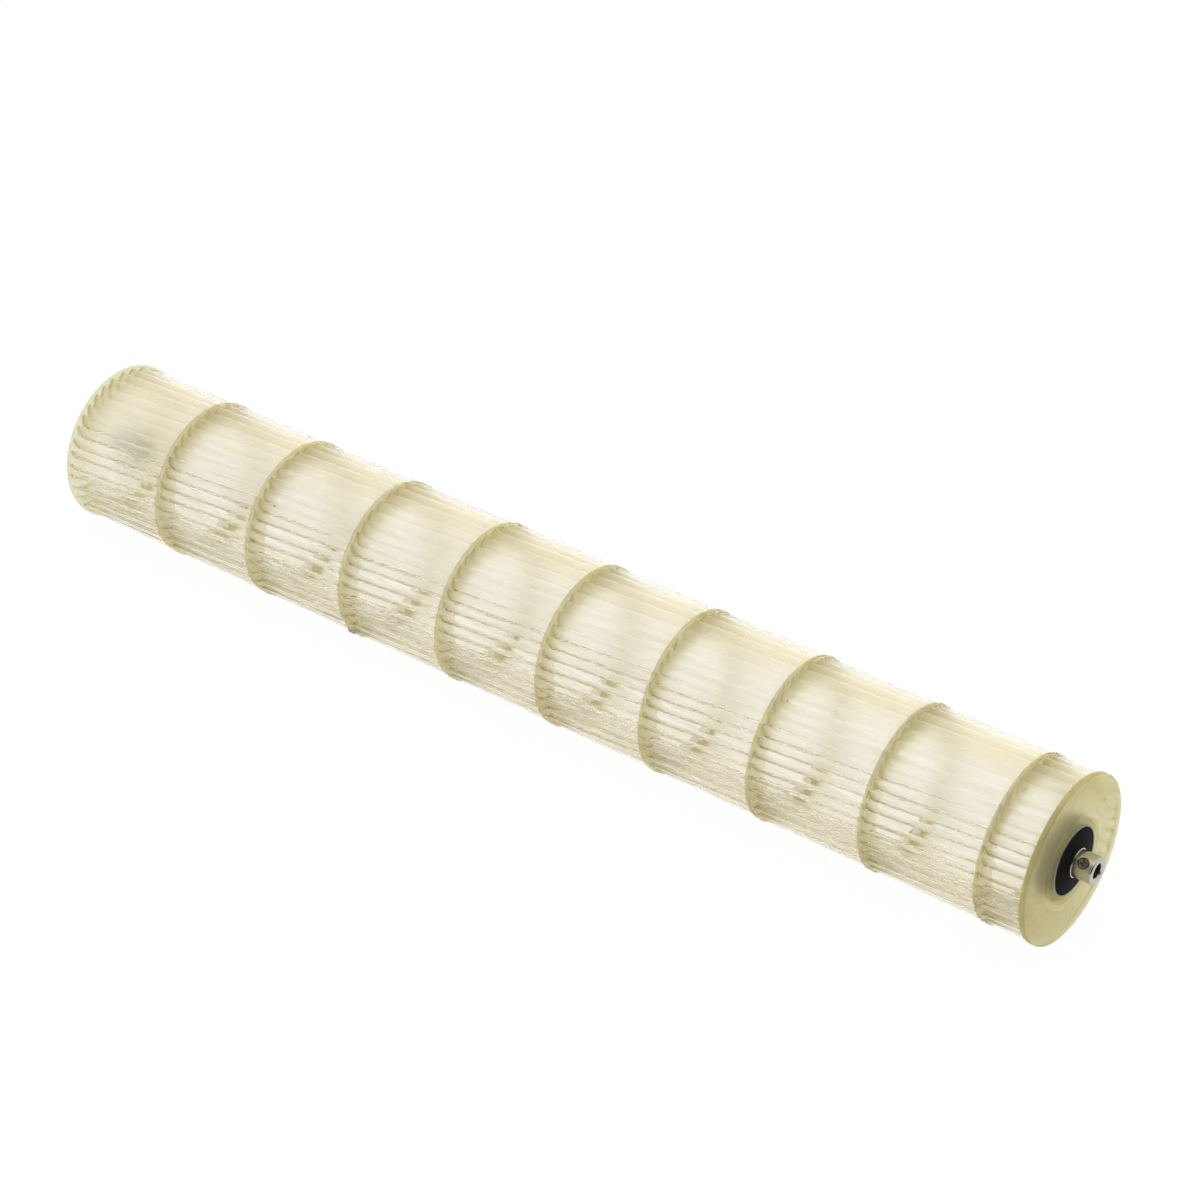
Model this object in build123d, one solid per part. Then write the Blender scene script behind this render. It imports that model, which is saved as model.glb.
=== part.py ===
from build123d import *
from itertools import cycle
import math
import os

# Cross flow fan impeller for a split air conditioner. Millimetres.
# Frame: X is the fan's axis, and the origin is on it, in the plane of the drive plate's outer
# face. +X points out of the motor boss, Z is up. Angles go round the axis from +Y towards +Z.
# The drum is one idler moulding, eight full mouldings, one short moulding and the drive
# plate, welded nose to tail. Each moulding is a ring with its blades standing on the +X side,
# and the tips of those blades sit inside the shallow lip on the back of the next ring.

# --- drum ---
rim_radius = 46.0
ring_bore_radius = 31.5
ring_thickness = 2.4
lip_depth = 0.8
lip_width = 0.45
lip_clearance = 0.35
full_segment_pitch = 67.8
full_segment_count = 8
idler_segment_pitch = 68.0
short_segment_pitch = 26.4

# --- blades: an arc that leaves the drum's inside radially and leans back at its tip ---
blade_chord = 12.0
blade_lean = 30.0
blade_camber = 1.6
blade_tip_thickness = 0.8
blade_middle_thickness = 1.3
blade_skew = 0.103
segment_index = 2.05
first_blade_angle = 70.9
# Uneven spacing, in degrees, that keeps the fan from whistling. The series is used over and
# over, and one last step of what is left closes the circle.
blade_steps = (10.6, 10.8, 9.6, 9.0, 9.4, 9.0, 8.7, 9.9, 9.1, 10.5, 8.7, 11.3)

# --- idler end ---
idler_plate_thickness = 2.6
well_radius = 12.8
well_wall = 2.2
well_depth = 12.8
well_floor = 2.2
stub_boss_radius = 7.0
stub_boss_length = 6.0
stub_boss_cap = 2.0
stub_radius = 4.0
stub_shank_radius = 3.6
stub_reach = 6.0
stub_chamfer = 0.5

# --- drive end ---
drive_plate_thickness = 3.2
rim_chamfer = 0.5
pad_radius = 27.0
pad_height = 0.5
hub_wall = 3.0
hub_depth = 12.0
hub_stop_radius = 16.0
hub_stop_thickness = 1.5
gate_mark_radius = 1.1
gate_mark_depth = 0.3
gate_mark_circle = 34.0
gate_mark_count = 3
gate_mark_angle = 38.0

# --- damper: steel sleeve, rubber and motor boss ---
sleeve_radius = 19.3
sleeve_wall = 1.0
sleeve_stand = 0.1
rubber_back = 8.5
rubber_crown = 2.4
rubber_shoulder_width = 1.4
boss_radius = 7.5
boss_shoulder_radius = 8.0
boss_shoulder_reach = 3.0
boss_reach = 13.8
boss_back = 9.5
boss_chamfer = 0.4
motor_bore_radius = 4.03
bore_chamfer = 0.6

# --- set screw ---
screw_radius = 3.0
screw_depth_below_boss = 0.4
screw_from_boss_end = 5.8
screw_angle = 131.8
screw_clearance = 0.05
recess_width = 0.9
recess_length = 3.4
recess_depth = 1.2

# --- balance clip ---
clip_segment = 3
clip_blade = 16
clip_length = 4.8
clip_from_ring = 2.6
clip_grip = 3.4
clip_metal = 0.35

# --- fits ---
bond_clearance = 0.02

# --- places along the axis ---
drive_face_x = 0.0
boss_end_x = drive_face_x + boss_reach
drive_back_x = drive_face_x - drive_plate_thickness
short_ring_x = drive_back_x - short_segment_pitch
first_full_ring_x = short_ring_x - full_segment_count * full_segment_pitch
idler_face_x = first_full_ring_x - idler_segment_pitch
blade_tip_radius = rim_radius - lip_width - lip_clearance
skew_datum = (ring_thickness + full_segment_pitch) / 2


def radial(angle):
    return Vector(0, math.cos(math.radians(angle)), math.sin(math.radians(angle)))


def tangent(angle):
    return Vector(0, -math.sin(math.radians(angle)), math.cos(math.radians(angle)))


def blade_angles():
    """Tip angle of every blade, counted from the first one."""
    angles = [0.0]
    for step in cycle(blade_steps):
        if angles[-1] + step + min(blade_steps) / 2 > 360:
            return angles
        angles.append(angles[-1] + step)


def turned(outline):
    """Solid turned about the fan's axis from (x, radius) corners."""
    return revolve(make_face(Polyline(*outline, close=True)), Axis.X)


def polygon_prism(points, x_from, x_to):
    """Straight prism along the axis over corner points given in the plane x = 0."""
    face = make_face(Polyline(*[point + Vector(x_from, 0, 0) for point in points], close=True))
    return Solid.extrude(face.face(), Vector(x_to - x_from, 0, 0))


def rim_corners(radius, turn):
    """Corners of a ring's rim: one at each of its blades, so every flat spans a blade space."""
    return [radial(turn + angle) * radius for angle in blade_angles()]


def blade_axes(angle):
    """Centre line of a blade section: tip, middle and nose points with the chord's normal."""
    lean = math.radians(blade_lean)
    inwards = radial(angle) * -math.cos(lean) + tangent(angle) * math.sin(lean)
    across = radial(angle) * math.sin(lean) + tangent(angle) * math.cos(lean)
    tip = radial(angle) * (blade_tip_radius - math.sin(lean) * blade_tip_thickness / 2)
    nose = tip + inwards * blade_chord
    middle = (tip + nose) * 0.5 + across * blade_camber
    return tip, middle, nose, across


def blade_section(angle):
    """Five corners of a blade section: a blunt tip, the full middle and a thin nose."""
    tip, middle, nose, across = blade_axes(angle)
    half_tip = across * (blade_tip_thickness / 2)
    half_middle = across * (blade_middle_thickness / 2)
    return [tip - half_tip, middle - half_middle, nose, middle + half_middle, tip + half_tip]


def skewed_prism(points, angle, middle_x, x_from, x_to):
    """Prism that slides round the drum with the blade's skew. Points are those at middle_x."""
    slide = tangent(angle) * (-math.radians(blade_skew) * blade_tip_radius)
    start = Vector(x_from, 0, 0) + slide * (x_from - middle_x)
    face = make_face(Polyline(*[point + start for point in points], close=True))
    return Solid.extrude(face.face(), (Vector(1, 0, 0) + slide) * (x_to - x_from))


def segment_turn(segment, ring_x, x):
    """Angle of a moulding's first blade at the place x along the axis."""
    return first_blade_angle + segment_index * (segment - 1) + blade_skew * (skew_datum - (x - ring_x))


def blade_span(ring_x, pitch):
    """Where the blades of a ring start, half way into its web, and end, on the next seat."""
    return ring_x + (lip_depth + ring_thickness) / 2, ring_x + pitch + lip_depth


def blade_row(segment, ring_x, root_x, tip_x):
    """The blades of one moulding."""
    middle_x = (root_x + tip_x) / 2
    turn = segment_turn(segment, ring_x, middle_x)
    return [
        skewed_prism(blade_section(turn + angle), turn + angle, middle_x, root_x, tip_x)
        for angle in blade_angles()
    ]


def make_blade_segment(segment, ring_x, pitch):
    """Ring with a lip on its back and blades on its front, one moulding."""
    front_x = ring_x + ring_thickness
    turn = segment_turn(segment, ring_x, front_x)
    ring = polygon_prism(rim_corners(rim_radius, turn), ring_x, front_x)
    ring -= polygon_prism(rim_corners(rim_radius - lip_width, turn), ring_x, ring_x + lip_depth)
    ring -= turned(
        ((ring_x, 0), (ring_x, ring_bore_radius), (front_x, ring_bore_radius), (front_x, 0))
    )
    return ring.fuse(*blade_row(segment, ring_x, *blade_span(ring_x, pitch)))


def make_idler_end_segment():
    """Closed end plate with a bearing well, the boss that holds the stub, and its blades."""
    front_x = idler_face_x + idler_plate_thickness
    datum_x = first_full_ring_x - full_segment_pitch
    floor_x = idler_face_x + well_depth
    back_x = floor_x + well_floor
    boss_end_x = back_x + stub_boss_length
    corners = rim_corners(rim_radius, segment_turn(1, datum_x, front_x))
    plate = polygon_prism(corners, idler_face_x, front_x)
    well = turned(
        (
            (idler_face_x, 0),
            (idler_face_x, well_radius + well_wall),
            (back_x, well_radius + well_wall),
            (back_x, stub_boss_radius),
            (boss_end_x, stub_boss_radius),
            (boss_end_x, 0),
        )
    )
    hollow = turned(
        ((idler_face_x, 0), (idler_face_x, well_radius), (floor_x, well_radius), (floor_x, 0))
    )
    seat_radius = stub_shank_radius + bond_clearance
    seat_end_x = boss_end_x - stub_boss_cap
    stub_seat = turned(((floor_x, 0), (floor_x, seat_radius), (seat_end_x, seat_radius), (seat_end_x, 0)))
    root_x = (idler_face_x + front_x) / 2
    blades = blade_row(1, datum_x, root_x, first_full_ring_x + lip_depth)
    return plate.fuse(well, *blades) - hollow - stub_seat


def make_idler_stub_shaft():
    """Steel pin that stands out of the bearing well, its thinner shank held in the boss."""
    outer_x = idler_face_x - stub_reach
    floor_x = idler_face_x + well_depth
    inner_x = floor_x + well_floor + stub_boss_length - stub_boss_cap
    return turned(
        (
            (outer_x, 0),
            (outer_x, stub_radius - stub_chamfer),
            (outer_x + stub_chamfer, stub_radius),
            (floor_x, stub_radius),
            (floor_x, stub_shank_radius),
            (inner_x, stub_shank_radius),
            (inner_x, 0),
        )
    )


def make_drive_end_plate():
    """Drive plate: lip for the last blade tips, raised pad, and the hub that holds the damper."""
    pad_x = drive_face_x + pad_height
    seat_x = drive_back_x + lip_depth
    hub_end_x = drive_face_x - hub_depth
    stop_x = hub_end_x + hub_stop_thickness
    hub_radius = sleeve_radius + hub_wall
    lip_radius = rim_radius - lip_width
    plate = turned(
        (
            (pad_x, sleeve_radius + bond_clearance),
            (pad_x, pad_radius - pad_height),
            (drive_face_x, pad_radius),
            (drive_face_x, rim_radius - rim_chamfer),
            (drive_face_x - rim_chamfer, rim_radius),
            (drive_back_x, rim_radius),
            (drive_back_x, lip_radius),
            (seat_x, lip_radius),
            (seat_x, hub_radius),
            (hub_end_x, hub_radius),
            (hub_end_x, hub_stop_radius),
            (stop_x, hub_stop_radius),
            (stop_x, sleeve_radius + bond_clearance),
        )
    )
    for mark in range(gate_mark_count):
        direction = radial(gate_mark_angle + mark * 360 / gate_mark_count)
        centre = direction * gate_mark_circle + Vector(drive_face_x - gate_mark_depth, 0, 0)
        plate -= extrude(Plane(centre, z_dir=(1, 0, 0)) * Circle(gate_mark_radius), gate_mark_depth * 2)
    return plate


def make_damper_sleeve():
    """Thin steel sleeve round the rubber, resting on the hub's stop."""
    stop_x = drive_face_x - hub_depth + hub_stop_thickness
    front_x = drive_face_x + pad_height + sleeve_stand
    inner = sleeve_radius - sleeve_wall
    return turned(
        ((stop_x, inner), (stop_x, sleeve_radius), (front_x, sleeve_radius), (front_x, inner))
    )


def make_rubber_damper():
    """Rubber ring bonded between the sleeve and the boss, crowned towards the boss."""
    outer = sleeve_radius - sleeve_wall - bond_clearance
    inner = boss_shoulder_radius + bond_clearance
    back_x = drive_face_x - rubber_back
    rim_x = drive_face_x + pad_height
    crown_x = drive_face_x + rubber_crown
    return turned(
        (
            (back_x, inner),
            (back_x, outer),
            (rim_x, outer),
            (rim_x, outer - rubber_shoulder_width),
            (crown_x, inner + rubber_shoulder_width),
            (crown_x, inner),
        )
    )


def screw_plane(radius):
    """Plane square to the set screw's axis at a distance from the fan's axis."""
    direction = radial(screw_angle)
    centre = Vector(boss_end_x - screw_from_boss_end, 0, 0) + direction * radius
    return Plane(centre, x_dir=(1, 0, 0), z_dir=direction)


def make_shaft_boss():
    """Plated steel boss with the motor shaft's bore and the set screw's cross hole."""
    back_x = drive_face_x - boss_back
    shoulder_x = drive_face_x + boss_shoulder_reach
    boss = turned(
        (
            (back_x, motor_bore_radius),
            (back_x, boss_shoulder_radius),
            (shoulder_x, boss_shoulder_radius),
            (shoulder_x, boss_radius),
            (boss_end_x - boss_chamfer, boss_radius),
            (boss_end_x, boss_radius - boss_chamfer),
            (boss_end_x, motor_bore_radius + bore_chamfer),
            (boss_end_x - bore_chamfer, motor_bore_radius),
        )
    )
    return boss - extrude(screw_plane(0) * Circle(screw_radius + screw_clearance), boss_radius * 2)


def make_set_screw():
    """Set screw with a cross recess, its tip level with the wall of the bore."""
    tip_radius = motor_bore_radius + screw_clearance
    head_radius = boss_radius - screw_depth_below_boss
    screw = extrude(screw_plane(tip_radius) * Circle(screw_radius), head_radius - tip_radius)
    for width, length in ((recess_width, recess_length), (recess_length, recess_width)):
        slot = screw_plane(head_radius - recess_depth) * Rectangle(width, length)
        screw -= extrude(slot, recess_depth * 2)
    return screw


def make_balance_clip():
    """Spring steel clip pushed over one blade's edge to balance the drum."""
    ring_x = first_full_ring_x + (clip_segment - 2) * full_segment_pitch
    root_x, tip_x = blade_span(ring_x, full_segment_pitch)
    middle_x = (root_x + tip_x) / 2
    turn = segment_turn(clip_segment, ring_x, middle_x)
    angle = turn + blade_angles()[clip_blade]
    tip, middle, _, _ = blade_axes(angle)
    inwards = (middle - tip).normalized()
    across = Vector(1, 0, 0).cross(inwards)
    slot_half = blade_middle_thickness / 2 + bond_clearance
    slot_top = -blade_tip_thickness / 2
    outline = (
        (clip_grip, slot_half),
        (clip_grip, slot_half + clip_metal),
        (slot_top - clip_metal, slot_half + clip_metal),
        (slot_top - clip_metal, -slot_half - clip_metal),
        (clip_grip, -slot_half - clip_metal),
        (clip_grip, -slot_half),
        (slot_top, -slot_half),
        (slot_top, slot_half),
    )
    points = [tip + inwards * depth + across * side for depth, side in outline]
    clip_end_x = ring_x + full_segment_pitch - clip_from_ring
    return skewed_prism(points, angle, middle_x, clip_end_x - clip_length, clip_end_x)


def make_parts():
    parts = {
        "idler_end_segment": make_idler_end_segment(),
        "idler_stub_shaft": make_idler_stub_shaft(),
    }
    moulding = make_blade_segment(2, first_full_ring_x, full_segment_pitch)
    for step in range(full_segment_count):
        place = Location((step * full_segment_pitch, 0, 0), (step * segment_index, 0, 0))
        parts[f"blade_segment_{step + 2}"] = moulding.moved(place)
    short_segment = full_segment_count + 2
    parts["short_blade_segment"] = make_blade_segment(short_segment, short_ring_x, short_segment_pitch)
    parts["drive_end_plate"] = make_drive_end_plate()
    parts["damper_sleeve"] = make_damper_sleeve()
    parts["rubber_damper"] = make_rubber_damper()
    parts["shaft_boss"] = make_shaft_boss()
    parts["set_screw"] = make_set_screw()
    parts["balance_clip"] = make_balance_clip()
    return parts


os.makedirs("parts", exist_ok=True)
for name, shape in make_parts().items():
    export_step(shape, f"parts/{name}.step")
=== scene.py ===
import math

import bmesh
import bpy
from mathutils import Matrix, Vector


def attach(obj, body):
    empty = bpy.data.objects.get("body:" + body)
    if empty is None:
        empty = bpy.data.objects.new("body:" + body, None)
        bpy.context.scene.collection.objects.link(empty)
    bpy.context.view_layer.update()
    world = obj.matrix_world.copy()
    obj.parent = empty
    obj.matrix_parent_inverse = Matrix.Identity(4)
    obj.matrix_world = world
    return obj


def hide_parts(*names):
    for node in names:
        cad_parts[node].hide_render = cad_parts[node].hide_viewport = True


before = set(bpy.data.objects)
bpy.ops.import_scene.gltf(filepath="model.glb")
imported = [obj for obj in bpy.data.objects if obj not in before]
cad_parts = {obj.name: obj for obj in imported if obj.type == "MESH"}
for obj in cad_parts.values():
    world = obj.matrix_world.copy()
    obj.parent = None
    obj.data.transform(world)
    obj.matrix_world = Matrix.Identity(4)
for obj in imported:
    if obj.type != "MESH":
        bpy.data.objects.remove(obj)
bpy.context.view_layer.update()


# --- Blade mouldings ---------------------------------------------------------------------
# The drum is a stack of injection mouldings in clear, faintly yellow-green SAN plastic: a flat
# ring with 37 curved blades standing on its front. The blades are skewed and unevenly spaced,
# and their tips are welded into the shallow lip on the back of the next ring.
def colour(hex_code):
    """Linear colour, with an alpha of 1, from a hex code."""
    channels = (int(hex_code[i : i + 2], 16) / 255 for i in (1, 3, 5))
    return (*(c / 12.92 if c <= 0.04045 else ((c + 0.055) / 1.055) ** 2.4 for c in channels), 1.0)


def add(tree, kind, inputs=None, **settings):
    """New node. An input is given as a plain value or as the socket that feeds it."""
    node = tree.nodes.new(kind)
    for name, value in settings.items():
        setattr(node, name, value)
    for name, value in (inputs or {}).items():
        if isinstance(value, bpy.types.NodeSocket):
            tree.links.new(value, node.inputs[name])
        else:
            node.inputs[name].default_value = value
    return node


def maths(tree, operation, first, second, **settings):
    """Result of one operation on two sockets or values."""
    inputs = {0: first, 1: second}
    return add(tree, "ShaderNodeMath", inputs, operation=operation, **settings).outputs[0]


def vector_maths(tree, operation, inputs):
    """Result of one operation on vectors."""
    return add(tree, "ShaderNodeVectorMath", inputs, operation=operation).outputs[0]


def spread(tree, value, before, after, **settings):
    """A socket's value carried from one range to another and held inside it."""
    inputs = {"Value": value, "From Min": before[0], "From Max": before[1]}
    inputs.update({"To Min": after[0], "To Max": after[1]})
    return add(tree, "ShaderNodeMapRange", inputs, **settings).outputs[0]


def noise(tree, place, scale, detail):
    """Cloudy pattern of values round one half."""
    inputs = {"Vector": place, "Scale": scale, "Detail": detail}
    return add(tree, "ShaderNodeTexNoise", inputs).outputs["Fac"]


def new_material(name):
    material = bpy.data.materials.new(name)
    material.use_nodes = True
    material.node_tree.nodes.clear()
    return material


# The tint's reach is counted from just behind a ring to where its blades are at their palest. Each
# stop gives a share of that way and the depth of the tint there. On the blades the tint is painted
# shade. It is deepest next to the ring and fades over their first two centimetres, standing in for
# the ring's olive face seen through them.
tint_reach = (-0.002, 0.018)
tint_and_shade_stops = ((0.09, 0.85), (0.1, 0.5), (0.2, 0.4), (0.28, 0.2), (0.6, 0.07))
# SAN's own refractive index is near 1.57. It is set lower, so that rows of blades one behind
# the other stay clear.
san_index = 1.1
san_clear_share = 0.9
san_mirror_level = 0.25
# Specks of burnt plastic: place along the axis, degrees round it, and size.
speck_radius = 0.045
burnt_specks = (
    (-0.0130, 112, 0.0004),
    (-0.1593, 116, 0.0005),
    (-0.1520, 194, 0.0005),
    (-0.4914, 137, 0.0008),
    (-0.5757, 144, 0.0006),
)


def speck_cover(tree, place):
    """How far a burnt speck covers each point of the drum's skin."""
    spot = add(tree, "ShaderNodeSeparateXYZ", {"Vector": place}).outputs
    along = add(tree, "ShaderNodeCombineXYZ", {"X": spot["X"]}).outputs[0]
    around = add(tree, "ShaderNodeCombineXYZ", {"Y": spot["Y"], "Z": spot["Z"]}).outputs[0]
    around = vector_maths(tree, "NORMALIZE", {0: around})
    around = vector_maths(tree, "SCALE", {0: around, "Scale": speck_radius})
    on_skin = vector_maths(tree, "ADD", {0: around, 1: along})
    cover = None
    for x, angle, size in burnt_specks:
        turn = math.radians(angle)
        middle = (x, speck_radius * math.cos(turn), speck_radius * math.sin(turn))
        inputs = {0: on_skin, 1: middle}
        away = add(tree, "ShaderNodeVectorMath", inputs, operation="DISTANCE").outputs["Value"]
        speck = spread(tree, away, (size, size * 0.6), (0.0, 0.85))
        cover = speck if cover is None else maths(tree, "MAXIMUM", cover, speck)
    return cover


def san_plastic(name, thin, thick, roughness):
    """Styrene acrylonitrile from a fine matt mould: light passes, but what is behind is blurred.
    The more plastic it crosses the more blue it loses, so thick places turn from cream to olive. The
    deeper olive on the blades next to their ring, and on the drive plate over the ends of the
    blades, is painted shade. past_ring is how far along its blade a point stands from the ring, in
    metres."""
    material = new_material(name)
    tree = material.node_tree
    reach = add(tree, "ShaderNodeAttribute", attribute_name="past_ring").outputs["Fac"]
    place = add(tree, "ShaderNodeTexCoord").outputs["Object"]
    # The melt's flow lines run along the blades, a few millimetres apart and some 50 mm long.
    along = add(tree, "ShaderNodeMapping", {"Vector": place, "Scale": (20, 220, 220)}).outputs[0]
    flow = noise(tree, along, 1.0, 3.0)
    share = spread(tree, reach, tint_reach, (0.0, 1.0))
    # Painted shade: the ramp deepens the blades' tint next to their ring, for the ring seen through
    # them.
    tint_and_painted_shade = add(tree, "ShaderNodeValToRGB", {"Fac": share})
    stops = tint_and_painted_shade.color_ramp.elements
    stops[0].position, stops[0].color = 0.0, (1, 1, 1, 1)
    stops[1].position, stops[1].color = 1.0, (0, 0, 0, 1)
    for spot, level in tint_and_shade_stops:
        stops.new(spot).color = (level, level, level, 1)
    streaks = spread(tree, flow, (0.3, 0.7), (-0.09, 0.09))
    depth = maths(tree, "ADD", tint_and_painted_shade.outputs["Color"], streaks, use_clamp=True)
    tint = add(
        tree,
        "ShaderNodeMix",
        {"Factor": depth, 6: colour(thin), 7: colour(thick)},
        data_type="RGBA",
    )
    specked = add(
        tree,
        "ShaderNodeMix",
        {"Factor": speck_cover(tree, place), 6: tint.outputs[2], 7: colour("#4c4434")},
        data_type="RGBA",
    )
    haze = spread(tree, flow, (0.3, 0.7), (roughness - 0.06, roughness + 0.06))
    front = add(
        tree,
        "ShaderNodeBsdfPrincipled",
        {
            "Base Color": specked.outputs[2],
            "Roughness": haze,
            "IOR": san_index,
            "Transmission Weight": san_clear_share,
            "Specular IOR Level": san_mirror_level,
        },
    )
    add(tree, "ShaderNodeOutputMaterial", {"Surface": front.outputs[0]})
    return material


san = san_plastic("SAN_plastic_moulded", "#fcfaf3", "#d3cc98", 0.55)

rim_radius = 0.046
ring_bore_radius = 0.0315
ring_thickness = 0.0024
lip_depth = 0.0008
lip_width = 0.00045
rim_step = 0.0005
rim_step_half_turn = 0.006
blade_tip_radius = 0.0452
blade_chord = 0.012
blade_lean = math.radians(30)
blade_camber = 0.0016
blade_tip_thickness = 0.0008
blade_swell = 0.0009
blade_nose_thickness = 0.0002
blade_skew = math.radians(103)
segment_pitch = 0.0678
segment_index = math.radians(2.05)
first_blade_angle = math.radians(70.9)
blade_steps = (10.6, 10.8, 9.6, 9.0, 9.4, 9.0, 8.7, 9.9, 9.1, 10.5, 8.7, 11.3)
least_last_step = 4

# The steps are used over and over, for as long as the last gap stays wide enough.
blade_angles = [0.0]
while True:
    following = blade_angles[-1] + blade_steps[(len(blade_angles) - 1) % len(blade_steps)]
    if following >= 360 - least_last_step:
        break
    blade_angles.append(following)
blade_angles = [math.radians(a) for a in blade_angles]

lean_in = Vector((-math.cos(blade_lean), math.sin(blade_lean)))
lean_across = Vector((math.sin(blade_lean), math.cos(blade_lean)))


def blade_middle(share):
    """Place on the blade's middle line, a share of the way in from its tip."""
    return lean_in * (blade_chord * share) + lean_across * (4 * share * (1 - share) * blade_camber)


def blade_outline():
    """Blade section as (y, z) corners, tip on the Y axis: rounded tip, full middle, thin nose."""
    tip = Vector((blade_tip_radius - math.sin(blade_lean) * blade_tip_thickness / 2, 0))
    sides = ([], [])
    for share in (0.0, 0.02, 0.12, 0.3, 0.5, 0.72, 0.9, 1.0):
        swell = math.sin(math.pi * share**0.8)
        half = (blade_tip_thickness * (1 - share) + blade_swell * swell) / 2
        if share == 0:
            half *= 0.5
        if share == 1:
            half = blade_nose_thickness / 2
        spot = tip + blade_middle(share)
        sides[0].append(spot - lean_across * half)
        sides[1].append(spot + lean_across * half)
    return sides[0] + sides[1][::-1]


def blade_row_tree():
    """Geometry Nodes: a blade section drawn along the axis with its skew, one for each point."""
    tree = bpy.data.node_groups.new("skewed_blade_row", "GeometryNodeTree")
    face = tree.interface
    for name, kind in (
        ("Blade places", "Geometry"),
        ("Section", "Object"),
        ("Root", "Float"),
        ("Tip", "Float"),
        ("Skew", "Float"),
        ("Steps", "Int"),
        ("Plastic", "Material"),
    ):
        face.new_socket(name, in_out="INPUT", socket_type=f"NodeSocket{kind}")
    face.new_socket("Blades", in_out="OUTPUT", socket_type="NodeSocketGeometry")
    given = add(tree, "NodeGroupInput").outputs
    start = add(tree, "ShaderNodeCombineXYZ", {"X": given["Root"]}).outputs[0]
    end = add(tree, "ShaderNodeCombineXYZ", {"X": given["Tip"]}).outputs[0]
    line = add(tree, "GeometryNodeCurvePrimitiveLine", {"Start": start, "End": end}).outputs[0]
    stops = add(tree, "GeometryNodeResampleCurve", {"Curve": line, "Count": given["Steps"]})
    section = add(tree, "GeometryNodeObjectInfo", {"Object": given["Section"]})
    outline = add(tree, "GeometryNodeMeshToCurve", {"Mesh": section.outputs["Geometry"]})
    blade = add(
        tree,
        "GeometryNodeCurveToMesh",
        {"Curve": stops.outputs[0], "Profile Curve": outline.outputs[0], "Fill Caps": True},
    )
    place = add(tree, "GeometryNodeInputPosition").outputs[0]
    split = add(tree, "ShaderNodeSeparateXYZ", {"Vector": place})
    middle = maths(tree, "MULTIPLY", maths(tree, "ADD", given["Root"], given["Tip"]), 0.5)
    travel = maths(tree, "SUBTRACT", middle, split.outputs["X"])
    turned_to = add(
        tree,
        "ShaderNodeVectorRotate",
        rotation_type="X_AXIS",
        inputs={"Vector": place, "Angle": maths(tree, "MULTIPLY", travel, given["Skew"])},
    )
    skewed = add(
        tree,
        "GeometryNodeSetPosition",
        {"Geometry": blade.outputs[0], "Position": turned_to.outputs[0]},
    )
    turn = add(tree, "GeometryNodeInputNamedAttribute", {"Name": "turn"}, data_type="FLOAT")
    spin = add(tree, "ShaderNodeCombineXYZ", {"X": turn.outputs["Attribute"]})
    row = add(
        tree,
        "GeometryNodeInstanceOnPoints",
        {
            "Points": given["Blade places"],
            "Instance": skewed.outputs[0],
            "Rotation": spin.outputs[0],
        },
    )
    real = add(tree, "GeometryNodeRealizeInstances", {"Geometry": row.outputs[0]}).outputs[0]
    inputs = {"Geometry": real, "Material": given["Plastic"]}
    finished = add(tree, "GeometryNodeSetMaterial", inputs)
    add(tree, "NodeGroupOutput", {"Blades": finished.outputs[0]})
    return tree


section_mesh = bpy.data.meshes.new("blade_section")
# The section's two axes are written the way round in which the sweep lays a profile on the axis.
corners = [(-y, -z, 0) for y, z in blade_outline()]
section_mesh.from_pydata(corners, [(i, (i + 1) % len(corners)) for i in range(len(corners))], [])
blade_section = bpy.data.objects.new("blade_section", section_mesh)
row_tree = blade_row_tree()
stops_along_blade = 6


def blade_row(turn, root_x, tip_x):
    """One moulding's blades as a plain mesh."""
    places = bpy.data.meshes.new("blade_places")
    places.from_pydata([(0, 0, 0)] * len(blade_angles), [], [])
    angles = places.attributes.new("turn", "FLOAT", "POINT")
    angles.data.foreach_set("value", [turn + a for a in blade_angles])
    maker = bpy.data.objects.new("blade_places", places)
    bpy.context.scene.collection.objects.link(maker)
    modifier = maker.modifiers.new("blades", "NODES")
    modifier.node_group = row_tree
    given = {s.name: s.identifier for s in row_tree.interface.items_tree if s.in_out == "INPUT"}
    for name, value in (
        ("Section", blade_section),
        ("Root", root_x),
        ("Tip", tip_x),
        ("Skew", blade_skew),
        ("Steps", stops_along_blade),
        ("Plastic", san),
    ):
        modifier[given[name]] = value
    ready = maker.evaluated_get(bpy.context.evaluated_depsgraph_get())
    mesh = bpy.data.meshes.new_from_object(ready)
    bpy.data.objects.remove(maker)
    return mesh


def turned_mesh(outline, steps):
    """Closed mesh turned about the X axis from (x, radius) corners."""
    mesh = bmesh.new()
    rows = []
    for x, radius in outline:
        if radius < 1e-7:
            rows.append([mesh.verts.new((x, 0, 0))])
            continue
        angles = (2 * math.pi * i / steps for i in range(steps))
        spots = ((x, radius * math.cos(a), radius * math.sin(a)) for a in angles)
        rows.append([mesh.verts.new(spot) for spot in spots])
    for here, there in zip(rows, rows[1:] + rows[:1]):
        for i in range(steps):
            j = (i + 1) % steps
            near = [here[i % len(here)], here[j % len(here)]]
            face = near + [there[j % len(there)], there[i % len(there)]]
            face = [v for n, v in enumerate(face) if v not in face[:n]]
            if len(face) > 2:
                mesh.faces.new(face)
    bmesh.ops.recalc_face_normals(mesh, faces=mesh.faces)
    return mesh


def plain(mesh):
    """Mesh data from an edit mesh, which is freed."""
    data = bpy.data.meshes.new("turned")
    mesh.to_mesh(data)
    mesh.free()
    return data


def join(*meshes):
    """Several meshes in one."""
    whole = bmesh.new()
    for mesh in meshes:
        whole.from_mesh(mesh)
    joined = bpy.data.meshes.new("moulding")
    whole.to_mesh(joined)
    whole.free()
    return joined


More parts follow.
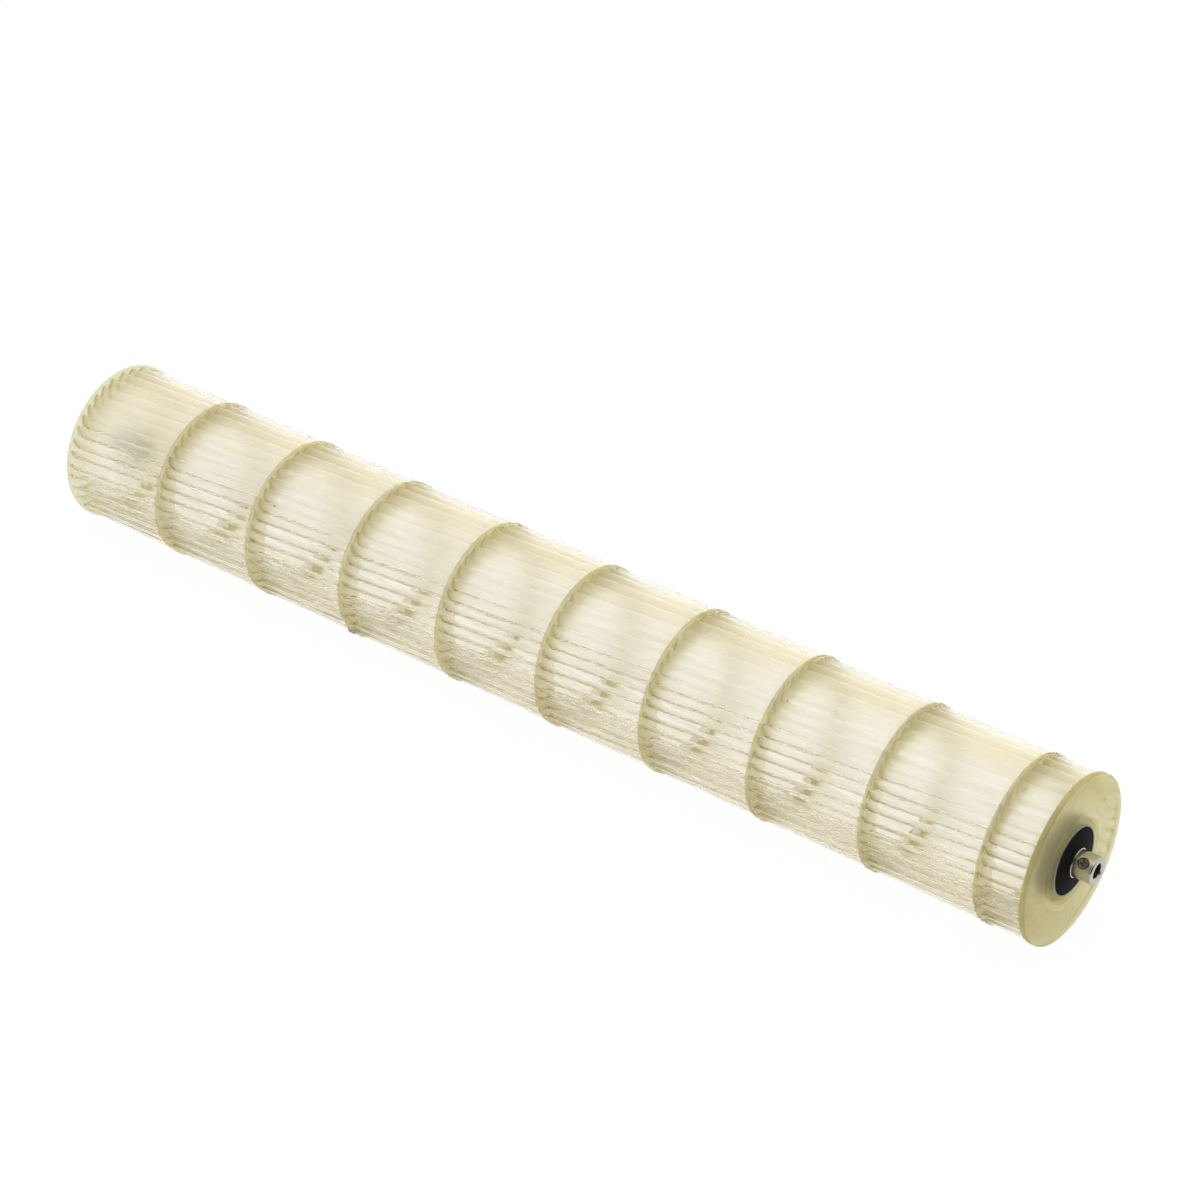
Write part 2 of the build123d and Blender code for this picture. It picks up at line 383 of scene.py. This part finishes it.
def piece(name, mesh, body, material, *nodes, smooth=40):
    """Finished piece: shaded, riding on its body and standing for its CAD nodes."""
    if isinstance(mesh, bmesh.types.BMesh):
        data = bpy.data.meshes.new(name)
        mesh.to_mesh(data)
        mesh.free()
        mesh = data
    mesh.materials.clear()
    mesh.materials.append(material)
    thing = bpy.data.objects.new(name, mesh)
    bpy.context.scene.collection.objects.link(thing)
    mesh.shade_smooth()
    mesh.set_sharp_from_angle(angle=math.radians(smooth))
    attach(thing, body)
    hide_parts(*nodes)
    return thing


def ring_mesh(ring_x, turn):
    """Flat web with a shallow lip standing back over the welded blade tips. The rim was cut
    with a small step at each blade, so it is a fine saw-tooth and not a true circle."""
    front = ring_x + ring_thickness
    edge = 0.00015
    # Corners as (x, radius, whether the rim's steps cut into them). The two in the middle of
    # the web's front let the tint change there.
    outline = (
        (front, ring_bore_radius + edge, 0),
        (front, 0.036, 0),
        (front, 0.0408, 0),
        (front, rim_radius - edge, 1),
        (front - edge, rim_radius, 1),
        (ring_x + edge, rim_radius, 1),
        (ring_x, rim_radius - edge, 1),
        (ring_x, rim_radius - lip_width, 1),
        (ring_x + lip_depth, rim_radius - lip_width, 1),
        (ring_x + lip_depth, ring_bore_radius, 0),
        (front - edge, ring_bore_radius, 0),
    )
    stations = []
    for here, there in zip(blade_angles, blade_angles[1:] + [2 * math.pi]):
        stations.append((here - rim_step_half_turn, rim_step))
        ramp = there - here - 2 * rim_step_half_turn
        for share in (0.0, 0.33, 0.67):
            stations.append((here + rim_step_half_turn + share * ramp, rim_step * share))
    mesh = bmesh.new()
    rows = []
    for x, radius, stepped in outline:
        spots = ((turn + a, radius - drop * stepped) for a, drop in stations)
        rows.append([mesh.verts.new((x, r * math.cos(a), r * math.sin(a))) for a, r in spots])
    for here, there in zip(rows, rows[1:] + rows[:1]):
        for i in range(len(stations)):
            j = (i + 1) % len(stations)
            mesh.faces.new((here[i], here[j], there[j], there[i]))
    bmesh.ops.recalc_face_normals(mesh, faces=mesh.faces)
    return plain(mesh)


def store_reach(mesh, levels):
    mesh.attributes.new("past_ring", "FLOAT", "POINT").data.foreach_set("value", levels)


def store_blade_reach(blades, ring_front_x):
    """Each point of a blade stores how far it stands from the ring it grows out of."""
    store_reach(blades, [v.co.x - ring_front_x for v in blades.vertices])


# A ring stores 0 at its rim, less than that on its back edge, where light runs longest through
# the plastic, and more on the web inside the blades, which is seen face on.
back_edge_reach = -0.0002
web_reach = 0.004
web_radius = 0.0405


def store_ring_reach(ring, back_edge_x):
    levels = []
    for vertex in ring.vertices:
        level = back_edge_reach if vertex.co.x < back_edge_x else 0.0
        levels.append(web_reach if vertex.co.yz.length < web_radius else level)
    store_reach(ring, levels)


short_pitch = 0.0264
weld_gap = 0.00002
drive_back_x = -0.0032
short_ring_x = drive_back_x - short_pitch
first_full_ring_x = short_ring_x - 8 * segment_pitch
skew_datum = (ring_thickness + segment_pitch) / 2

for segment in range(2, 11):
    ring_x = first_full_ring_x + (segment - 2) * segment_pitch
    pitch = segment_pitch if segment < 10 else short_pitch
    root_x = ring_x + (lip_depth + ring_thickness) / 2
    tip_x = ring_x + pitch + lip_depth - weld_gap
    middle = (root_x + tip_x) / 2
    turn = first_blade_angle + segment_index * (segment - 1)
    turn += blade_skew * (skew_datum - (middle - ring_x))
    blades = blade_row(turn, root_x, tip_x)
    ring = ring_mesh(ring_x, turn + blade_skew * (middle - ring_x))
    store_blade_reach(blades, ring_x + ring_thickness)
    store_ring_reach(ring, ring_x + 0.0003)
    node = f"blade_segment_{segment}" if segment < 10 else "short_blade_segment"
    piece(f"{node}_moulding", join(ring, blades), "impeller", san, node)


# --- Idler end ---------------------------------------------------------------------------
# The last moulding closes the drum: a plate with a deep well for the bearing's rubber nose,
# a thick boss in its floor that grips the ground steel stub, and its own row of blades.
idler_face_x = first_full_ring_x - 0.068
idler_front_x = idler_face_x + 0.0026
well_floor_x = idler_face_x + 0.0128
boss_back_x = well_floor_x + 0.0022
idler_boss_end_x = boss_back_x + 0.006
pin_end_x = idler_boss_end_x - 0.002
well_radius = 0.0128
cup_radius = 0.0150
idler_boss_radius = 0.0070
pin_hole_radius = 0.00362
edge = 0.0002
fillet = 0.0003
corner = 0.0004
idler_plate = plain(
    turned_mesh(
        (
            (idler_face_x, well_radius + edge),
            (idler_face_x, rim_radius - edge),
            (idler_face_x + edge, rim_radius),
            (idler_front_x - edge, rim_radius),
            (idler_front_x, rim_radius - edge),
            (idler_front_x, cup_radius + fillet),
            (idler_front_x + fillet, cup_radius),
            (boss_back_x - corner, cup_radius),
            (boss_back_x, cup_radius - corner),
            (boss_back_x, idler_boss_radius + fillet),
            (boss_back_x + fillet, idler_boss_radius),
            (idler_boss_end_x - corner, idler_boss_radius),
            (idler_boss_end_x, idler_boss_radius - corner),
            (idler_boss_end_x, 0.0),
            (pin_end_x, 0.0),
            (pin_end_x, pin_hole_radius),
            (well_floor_x, pin_hole_radius),
            (well_floor_x, well_radius - corner),
            (well_floor_x - corner, well_radius),
            (idler_face_x + edge, well_radius),
        ),
        96,
    )
)
idler_root_x = (idler_face_x + idler_front_x) / 2
idler_tip_x = first_full_ring_x + lip_depth - weld_gap
middle = (idler_root_x + idler_tip_x) / 2
datum_x = first_full_ring_x - segment_pitch
turn = first_blade_angle + blade_skew * (skew_datum - (middle - datum_x))
idler_blades = blade_row(turn, idler_root_x, idler_tip_x)
store_blade_reach(idler_blades, idler_front_x)
store_ring_reach(idler_plate, idler_face_x + 0.0001)
piece("idler_end_moulding", join(idler_plate, idler_blades), "impeller", san, "idler_end_segment")


# --- Idler stub shaft --------------------------------------------------------------------
# A ground steel pin, chamfered at its outer end, whose thinner shank is held in the idler boss.
def metal(name, tone, roughness, grain, relief=0.0, turned=0.0):
    """Bare or plated metal. grain gives the pattern's scale along and across the X axis, in one
    over metres: turned and ground faces carry fine lines round the axis. turned is how far those
    lines smear a reflection along the axis."""
    material = new_material(name)
    tree = material.node_tree
    place = add(tree, "ShaderNodeTexCoord").outputs["Object"]
    scale = (grain[0], grain[1], grain[1])
    stretched = add(tree, "ShaderNodeMapping", {"Vector": place, "Scale": scale}).outputs[0]
    lines = noise(tree, stretched, 1.0, 4.0)
    handled = noise(tree, place, 180.0, 3.0)
    wear = maths(tree, "ADD", lines, handled)
    shine = spread(tree, wear, (0.7, 1.3), (roughness - 0.05, roughness + 0.07))
    dulled = spread(tree, wear, (0.6, 1.4), (1.05, 0.9))
    shade = vector_maths(tree, "SCALE", {0: colour(tone)[:3], "Scale": dulled})
    bump = add(
        tree,
        "ShaderNodeBump",
        {"Strength": relief, "Distance": 0.00005, "Height": lines},
    )
    lay = add(tree, "ShaderNodeTangent", direction_type="RADIAL", axis="X")
    front = add(
        tree,
        "ShaderNodeBsdfPrincipled",
        {
            "Metallic": 1.0,
            "Anisotropic": turned,
            "Anisotropic Rotation": 0.25,
            "Base Color": shade,
            "Roughness": shine,
            "Normal": bump.outputs[0],
            "Tangent": lay.outputs[0],
        },
    )
    add(tree, "ShaderNodeOutputMaterial", {"Surface": front.outputs[0]})
    return material


# Ground steel: cool grey, satin, with fine grinding lines round the pin.
ground_steel = metal("Steel_ground", "#a9abac", 0.3, (9000, 300), 0.15)
stub_end_x = idler_face_x - 0.006
stub_radius = 0.004
shank_radius = 0.0036
stub = turned_mesh(
    (
        (stub_end_x, 0.0),
        (stub_end_x, stub_radius - 0.0006),
        (stub_end_x + 0.0001, stub_radius - 0.0004),
        (stub_end_x + 0.0004, stub_radius - 0.0001),
        (stub_end_x + 0.0006, stub_radius),
        (well_floor_x, stub_radius),
        (well_floor_x, shank_radius),
        (pin_end_x, shank_radius),
        (pin_end_x, 0.0),
    ),
    64,
)
piece("idler_stub_pin", stub, "impeller", ground_steel, "idler_stub_shaft")


# --- Drive end plate ---------------------------------------------------------------------
# A separate moulding welded over the last blade tips: a flat face with a rounded rim, a pad raised
# half a millimetre, the deep hub cup behind it that holds the damper, and the marks of its three
# gates. The shadows of the blade ends behind its face are painted faintly into its tint.
pad_x = 0.0005
hub_end_x = -0.012
stop_x = hub_end_x + 0.0015
stop_radius = 0.016
sleeve_radius = 0.0193
hub_seat_radius = 0.01932
hub_radius = 0.0223
pad_radius = 0.027
# The face and the pad have rows of corners that only carry the tint.
face_row_count = 19
face_row_gap = 0.0185 / 18
face_rows = [(0.0, pad_radius + face_row_gap * i) for i in range(face_row_count)]
plate = turned_mesh(
    (
        (pad_x - edge, hub_seat_radius),
        (pad_x, hub_seat_radius + edge),
        (pad_x, 0.0210),
        (pad_x, hub_radius),
        (pad_x, 0.0245),
        (pad_x, pad_radius - 0.0006),
        (pad_x - 0.0001, pad_radius - 0.0004),
        *face_rows,
        (-0.00015, rim_radius - 0.00015),
        (-0.0005, rim_radius),
        (drive_back_x, rim_radius),
        (drive_back_x, rim_radius - lip_width),
        (drive_back_x + lip_depth, rim_radius - lip_width),
        (drive_back_x + lip_depth, hub_radius),
        (hub_end_x, hub_radius),
        (hub_end_x, stop_radius),
        (stop_x, stop_radius),
        (stop_x, hub_seat_radius),
    ),
    9 * len(blade_angles),
)


def cut(mesh, *tools):
    """Mesh less the tools' shapes."""
    things = []
    for shape in (mesh, *tools):
        thing = bpy.data.objects.new("cutting", shape)
        bpy.context.scene.collection.objects.link(thing)
        things.append(thing)
    for tool in things[1:]:
        modifier = things[0].modifiers.new("cut", "BOOLEAN")
        modifier.operation = "DIFFERENCE"
        modifier.solver = "EXACT"
        modifier.object = tool
    ready = things[0].evaluated_get(bpy.context.evaluated_depsgraph_get())
    result = bpy.data.meshes.new_from_object(ready)
    for thing in things:
        bpy.data.objects.remove(thing)
    return result


def placed(mesh, *moves):
    """Mesh moved by one matrix after the other."""
    for move in moves:
        mesh.transform(move)
    return mesh


# Each gate leaves a dimple with the stump of the runner in the middle.
gate_circle = 0.034
gate_angles = [math.radians(38 + 120 * mark) for mark in range(3)]
gate_dimple = (
    (0.0010, 0.0),
    (0.0010, 0.00125),
    (0.0001, 0.00125),
    (-0.0001, 0.0011),
    (-0.0003, 0.0009),
    (-0.0003, 0.0005),
    (-0.00005, 0.0004),
    (-0.00005, 0.0),
)
gates = []
for angle in gate_angles:
    gate = plain(turned_mesh(gate_dimple, 24))
    outwards = Matrix.Translation((0, gate_circle, 0))
    gates.append(placed(gate, outwards, Matrix.Rotation(angle, 4, "X")))
plate = cut(plain(plate), *gates)

# Where the hub's wall stands behind the face, light crosses more plastic. The stored reach is a
# little behind the ring there, so the tint is deeper. It is deeper in the same way on the rim and in
# the gate dimples. Over the ends of the blades behind the face, the deeper tint is painted shadow.
deep_reach = -0.0018
pad_reach = 0.0008
face_reach = 0.0004
# Painted shadow of the blade ends behind the face: its reach, its half width and its blur.
blade_shadow_reach = -0.0001
blade_shadow_half_width = 0.0005
blade_shadow_blur = 0.0012
last_turn = first_blade_angle + segment_index * 9
last_turn += blade_skew * (skew_datum - short_pitch - lip_depth)


def to_nearest_blade_end(radius, angle):
    """Distance on the face from a point to the middle line of the nearest blade behind it."""
    nearest = 1.0
    for blade_angle in blade_angles:
        away = (angle - last_turn - blade_angle + math.pi) % (2 * math.pi) - math.pi
        if -0.1 < away < 0.35:
            spot = Vector((radius * math.cos(away), radius * math.sin(away)))
            spot -= Vector((blade_tip_radius, 0))
            share = min(max(spot.dot(lean_in) / blade_chord, 0), 1)
            nearest = min(nearest, (spot - blade_middle(share)).length)
    return nearest


levels = []
for vertex in plate.vertices:
    x, y, z = vertex.co
    radius = math.hypot(y, z)
    from_gate = min(
        math.hypot(y - gate_circle * math.cos(a), z - gate_circle * math.sin(a)) for a in gate_angles
    )
    level = 0.0
    if x < -0.0004 or radius > rim_radius - 0.0003 or (from_gate < 0.0014 and x < 0.0):
        level = deep_reach
    elif radius < pad_radius - 0.0008:
        level = deep_reach if radius < hub_radius + 0.0004 else pad_reach
    elif radius > 0.0335:
        # Painted shadow of the blade ends behind the face, blurred over about a millimetre beside
        # each.
        past_end = to_nearest_blade_end(radius, math.atan2(z, y)) - blade_shadow_half_width
        behind = min(max(1 - past_end / blade_shadow_blur, 0), 1)
        level = face_reach + (blade_shadow_reach - face_reach) * behind
    levels.append(level)
store_reach(plate, levels)
piece("drive_end_plate_moulding", plate, "impeller", san, "drive_end_plate")


# --- Damper sleeve -----------------------------------------------------------------------
# A drawn steel ring, zinc plated, pressed into the hub cup. The rubber is bonded inside it.
# Zinc plate: pale and bluish, semi-matt.
sleeve_steel = metal("Steel_zinc_plated", "#8a938d", 0.42, (2500, 500), 0.1)
sleeve_inner = 0.0183
sleeve_front_x = pad_x + 0.0001
sleeve = turned_mesh(
    (
        (stop_x, sleeve_inner),
        (stop_x, sleeve_radius),
        (sleeve_front_x - 0.0003, sleeve_radius),
        (sleeve_front_x - 0.0001, sleeve_radius - 0.0001),
        (sleeve_front_x, sleeve_radius - 0.0003),
        (sleeve_front_x, sleeve_inner + 0.0003),
        (sleeve_front_x - 0.0001, sleeve_inner + 0.0001),
        (sleeve_front_x - 0.0003, sleeve_inner),
    ),
    128,
)
piece("damper_sleeve_ring", sleeve, "impeller", sleeve_steel, "damper_sleeve")


# --- Rubber damper -----------------------------------------------------------------------
# Black nitrile rubber moulded between the sleeve and the boss, thicker towards the boss and
# with a small fillet at each bond. It keeps the motor's hum out of the drum.
def rubber(name, tone, roughness):
    """Moulded rubber: near black, a broad soft sheen, and a fine eroded skin from the mould."""
    material = new_material(name)
    tree = material.node_tree
    place = add(tree, "ShaderNodeTexCoord").outputs["Object"]
    skin = noise(tree, place, 4000.0, 2.0)
    bloom = noise(tree, place, 140.0, 4.0)
    dusty = spread(tree, bloom, (0.35, 0.75), (0.8, 1.5))
    bump = add(tree, "ShaderNodeBump", {"Strength": 0.2, "Distance": 0.00005, "Height": skin})
    front = add(
        tree,
        "ShaderNodeBsdfPrincipled",
        {
            "Specular IOR Level": 0.06,
            "Base Color": vector_maths(tree, "SCALE", {0: colour(tone)[:3], "Scale": dusty}),
            "Roughness": spread(tree, bloom, (0.3, 0.7), (roughness - 0.06, roughness + 0.08)),
            "Normal": bump.outputs[0],
        },
    )
    add(tree, "ShaderNodeOutputMaterial", {"Surface": front.outputs[0]})
    return material


black_rubber = rubber("Rubber_nitrile_black", "#110e0d", 0.7)
rubber_back_x = -0.0085
rubber_inner = 0.00802
rubber_outer = 0.01828
rubber_crown = (
    (0.0002, 0.0176),
    (0.0004, 0.0170),
    (0.0008, 0.0160),
    (0.0015, 0.0130),
    (0.0020, 0.0110),
    (0.00235, 0.0096),
    (0.0024, 0.0092),
    (0.0024, 0.0086),
    (0.0022, 0.0083),
)
damper = turned_mesh(
    (
        (rubber_back_x, rubber_inner),
        (rubber_back_x, rubber_outer - 0.0004),
        (rubber_back_x + 0.0004, rubber_outer),
        (0.0004, rubber_outer),
        (0.0002, rubber_outer - 0.0003),
        *rubber_crown,
        (0.0022, rubber_inner),
    ),
    128,
)
piece("rubber_damper_ring", damper, "impeller", black_rubber, "rubber_damper")


# --- Shaft boss --------------------------------------------------------------------------
# Turned from steel bar and nickel plated, with the motor shaft's bore right through it and a
# cross hole for the set screw. Its wider back part is bonded into the rubber.
# Nickel plate: warm grey and bright, with faint turning lines under the plating.
nickel_plate = metal("Steel_nickel_plated", "#bdb9b2", 0.2, (4000, 150), 0.06, 0.6)
bore_radius = 0.00403
boss_radius = 0.0075
shoulder_radius = 0.008
boss_back_end_x = -0.0095
shoulder_x = 0.003
boss_end_x = 0.0138
boss = turned_mesh(
    (
        (boss_back_end_x, bore_radius),
        (boss_back_end_x, shoulder_radius),
        (shoulder_x - 0.0004, shoulder_radius),
        (shoulder_x - 0.0002, shoulder_radius),
        (shoulder_x, shoulder_radius - 0.0002),
        (shoulder_x, boss_radius),
        (shoulder_x + 0.0002, boss_radius),
        (boss_end_x - 0.0006, boss_radius),
        (boss_end_x - 0.00045, boss_radius),
        (boss_end_x - 0.0002, boss_radius - 0.0001),
        (boss_end_x - 0.00005, boss_radius - 0.00025),
        (boss_end_x, boss_radius - 0.0005),
        (boss_end_x, boss_radius - 0.0007),
        (boss_end_x, bore_radius + 0.0009),
        (boss_end_x, bore_radius + 0.0007),
        (boss_end_x - 0.00006, bore_radius + 0.0006),
        (boss_end_x - 0.0006, bore_radius),
    ),
    160,
)
screw_x = 0.008
screw_angle = math.radians(131.8)
screw_out = (Matrix.Translation((screw_x, 0, 0)), Matrix.Rotation(screw_angle, 4, "X"))
upright = Matrix.Rotation(math.radians(90), 4, "Z")
hole_radius = 0.00305
countersink_radius = 0.0034
screw_hole = turned_mesh(
    (
        (0.0, 0.0),
        (0.0, hole_radius),
        (0.00725, hole_radius),
        (0.0076, countersink_radius),
        (0.009, countersink_radius),
        (0.009, 0.0),
    ),
    64,
)
boss = cut(plain(boss), placed(plain(screw_hole), upright, *screw_out))
piece("shaft_boss_turned", boss, "impeller", nickel_plate, "shaft_boss", smooth=30)


# --- Set screw ---------------------------------------------------------------------------
# A short M6 screw with a cross recess, threaded along its whole length, that presses on the
# motor's shaft. Blackened steel, worn to a dark satin grey.
screw_steel = metal("Steel_black_oxide", "#77736e", 0.28, (1500, 1500), 0.2)
screw_tip = 0.00408
screw_head = 0.0071
screw_radius = 0.003
screw_end_radius = 0.00255
thread_pitch = 0.001
thread_depth = 0.0005
screw_steps = 48
screw_rows = 40
screw = bmesh.new()
rows = []
for row in range(screw_rows + 1):
    along = screw_tip + (screw_head - screw_tip) * row / screw_rows
    end_gap = min(along - screw_tip, screw_head - along)
    rows.append([])
    for step in range(screw_steps):
        phase = (along / thread_pitch - step / screw_steps) % 1
        radius = screw_radius - thread_depth * (1 - abs(2 * phase - 1))
        radius = min(radius, screw_end_radius + end_gap)
        angle = 2 * math.pi * step / screw_steps
        spot = (along, radius * math.cos(angle), radius * math.sin(angle))
        rows[-1].append(screw.verts.new(spot))
for here, there in zip(rows, rows[1:]):
    for i in range(screw_steps):
        j = (i + 1) % screw_steps
        screw.faces.new((here[i], here[j], there[j], there[i]))
screw.faces.new(rows[0])
screw.faces.new(rows[-1])
bmesh.ops.recalc_face_normals(screw, faces=screw.faces)
# The recess is two crossed slots that narrow towards their floor: half widths, half lengths.
recess_top = (screw_head + 0.0003, 0.00052, 0.00185)
recess_floor = (screw_head - 0.0013, 0.00036, 0.0013)
recess = []
for turn_to in (20, 110):
    slot = bmesh.new()
    bmesh.ops.create_cube(slot, size=1.0)
    for vertex in slot.verts:
        x, half_width, half_length = recess_top if vertex.co.x > 0 else recess_floor
        y = math.copysign(half_width, vertex.co.y)
        vertex.co = (x, y, math.copysign(half_length, vertex.co.z))
    recess.append(placed(plain(slot), Matrix.Rotation(math.radians(turn_to), 4, "X")))
screw = placed(cut(plain(screw), *recess), upright, *screw_out)
piece("set_screw_threaded", screw, "screw", screw_steel, "set_screw", smooth=25)


# --- Balance clip ------------------------------------------------------------------------
# A folded strip of spring steel, pushed over the edge of one blade where the drum was light.
# Spring steel: blue-grey, rolled surface.
spring_steel = metal("Steel_spring", "#8f9294", 0.32, (600, 3000), 0.15)
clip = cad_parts["balance_clip"]
clip.data.materials.clear()
clip.data.materials.append(spring_steel)


# --- Camera, light and floor -------------------------------------------------------------
# A long lens above the motor end, a white sweep underneath, and even light from all round.
def aim(thing, direction):
    """Turns a camera or lamp to look along a direction."""
    thing.rotation_mode = "QUATERNION"
    thing.rotation_quaternion = direction.to_track_quat("-Z", "Y")


camera_data = bpy.data.cameras.new("camera")
camera_data.sensor_width = 36.0
camera_data.lens = 104.484
camera_data.clip_start = 0.05
camera_data.clip_end = 50.0
camera = bpy.data.objects.new("camera", camera_data)
camera.location = (0.61559, -1.20083, 1.08624)
aim(camera, Vector((-0.49396, 0.65378, -0.57321)))
bpy.context.scene.collection.objects.link(camera)
bpy.context.scene.camera = camera

bpy.context.scene.view_settings.view_transform = "Standard"
bpy.context.scene.cycles.max_bounces = 32
bpy.context.scene.cycles.diffuse_bounces = 16
bpy.context.scene.cycles.glossy_bounces = 16
bpy.context.scene.cycles.transmission_bounces = 32
bpy.context.scene.cycles.transparent_max_bounces = 64


def ray_is(tree, *kinds):
    """1 for rays of any of the given kinds, otherwise 0."""
    rays = add(tree, "ShaderNodeLightPath").outputs
    found = rays[f"Is {kinds[0]} Ray"]
    for kind in kinds[1:]:
        found = maths(tree, "MAXIMUM", found, rays[f"Is {kind} Ray"])
    return found


world = bpy.data.worlds.new("studio")
bpy.context.scene.world = world
world.use_nodes = True
sky = world.node_tree
sky.nodes.clear()
# In reflections alone, the studio is bright behind and darker on the camera's side, so that
# polished metal has something to mirror.
facing = add(sky, "ShaderNodeTexCoord").outputs["Generated"]
heading = add(sky, "ShaderNodeSeparateXYZ", {"Vector": facing}).outputs["Y"]
camera_side = spread(sky, heading, (0.3, 0.0), (1.0, 0.03), interpolation_type="SMOOTHSTEP")
paper_white = colour("#ffffff")
even = add(sky, "ShaderNodeBackground", {"Color": paper_white, "Strength": 1.0}).outputs[0]
mirrored = add(sky, "ShaderNodeBackground", {"Color": paper_white, "Strength": camera_side})
inputs = {0: ray_is(sky, "Glossy"), 1: even, 2: mirrored.outputs[0]}
lit = add(sky, "ShaderNodeMixShader", inputs).outputs[0]
inputs = {0: ray_is(sky, "Camera", "Transmission"), 1: lit, 2: even}
shown = add(sky, "ShaderNodeMixShader", inputs).outputs[0]
add(sky, "ShaderNodeOutputWorld", {"Surface": shown})

lamp = bpy.data.lights.new("overhead", "AREA")
lamp.size = 1.2
lamp.energy = 7.0
overhead = bpy.data.objects.new("overhead", lamp)
overhead.location = (-0.1, -0.2, 1.6)
aim(overhead, Vector((-0.3, 0, 0)) - overhead.location)
bpy.context.scene.collection.objects.link(overhead)

floor_mesh = bmesh.new()
bmesh.ops.create_grid(floor_mesh, x_segments=1, y_segments=1, size=8.0)
floor_data = bpy.data.meshes.new("floor")
floor_mesh.to_mesh(floor_data)
floor_mesh.free()
floor = bpy.data.objects.new("floor", floor_data)
floor.location = (0, 0, -rim_radius)
bpy.context.scene.collection.objects.link(floor)
# White paper. Almost all of it shows as plain white, and the rest takes the object's shadow.
plain_share = 0.97
paper = new_material("white_paper_sweep")
tree = paper.node_tree
share = maths(tree, "MULTIPLY", ray_is(tree, "Camera", "Glossy", "Transmission"), plain_share)
matte = add(tree, "ShaderNodeBsdfDiffuse", {"Color": colour("#fafafa")})
glow = add(tree, "ShaderNodeEmission", {"Color": paper_white, "Strength": 1.0})
both = add(tree, "ShaderNodeMixShader", {0: share, 1: matte.outputs[0], 2: glow.outputs[0]})
add(tree, "ShaderNodeOutputMaterial", {"Surface": both.outputs[0]})
floor_data.materials.append(paper)
